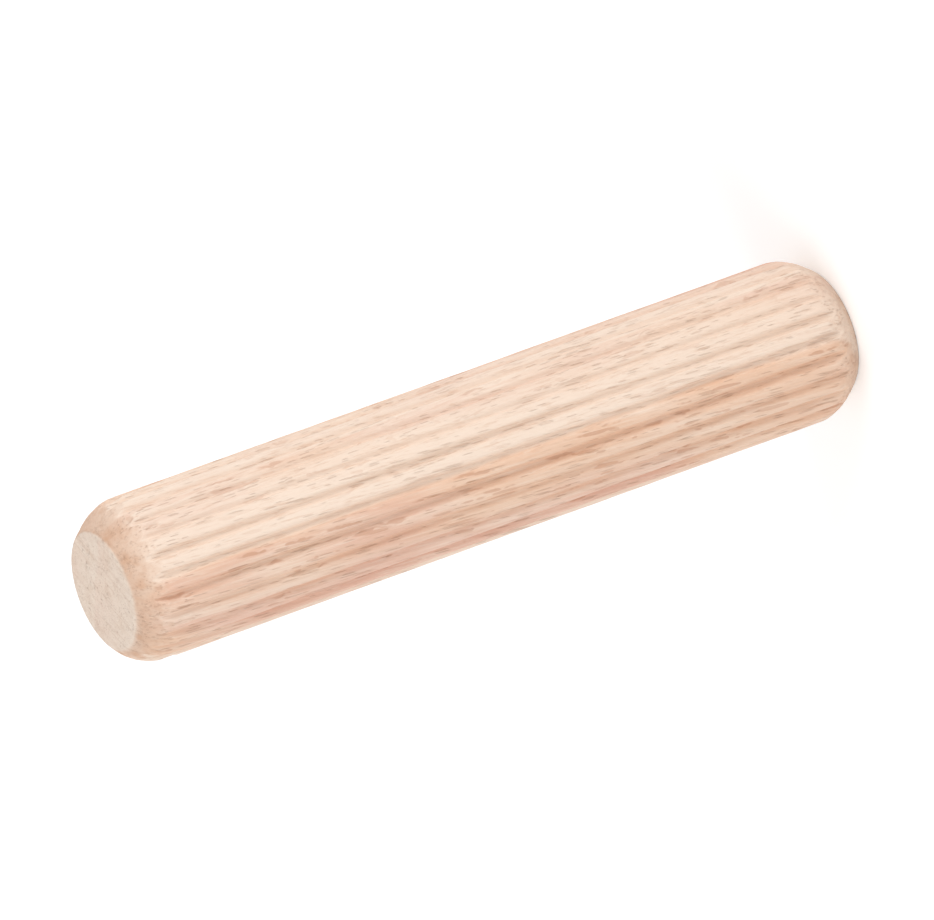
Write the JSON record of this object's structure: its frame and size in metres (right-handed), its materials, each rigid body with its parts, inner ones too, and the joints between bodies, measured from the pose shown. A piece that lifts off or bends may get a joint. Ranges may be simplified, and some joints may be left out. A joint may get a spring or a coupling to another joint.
{
  "type": "fluted wooden dowel pin",
  "caption": "Straight round beech dowel pin with glue flutes along its whole length and a rounded nose at each sawn end, for joining boards.",
  "frame": {"origin": "centre of the lower sawn end face, on which the pin stands", "axes": "+Z along the pin towards its other end; +X through the middle of one flute"},
  "size_m": [0.008, 0.008, 0.04],
  "materials": {
    "beech": "bare planed and pressed beech, matt, with darker sawn end grain"
  },
  "bodies": {
    "root": {"dowel": "beech"}
  },
  "joints": []
}
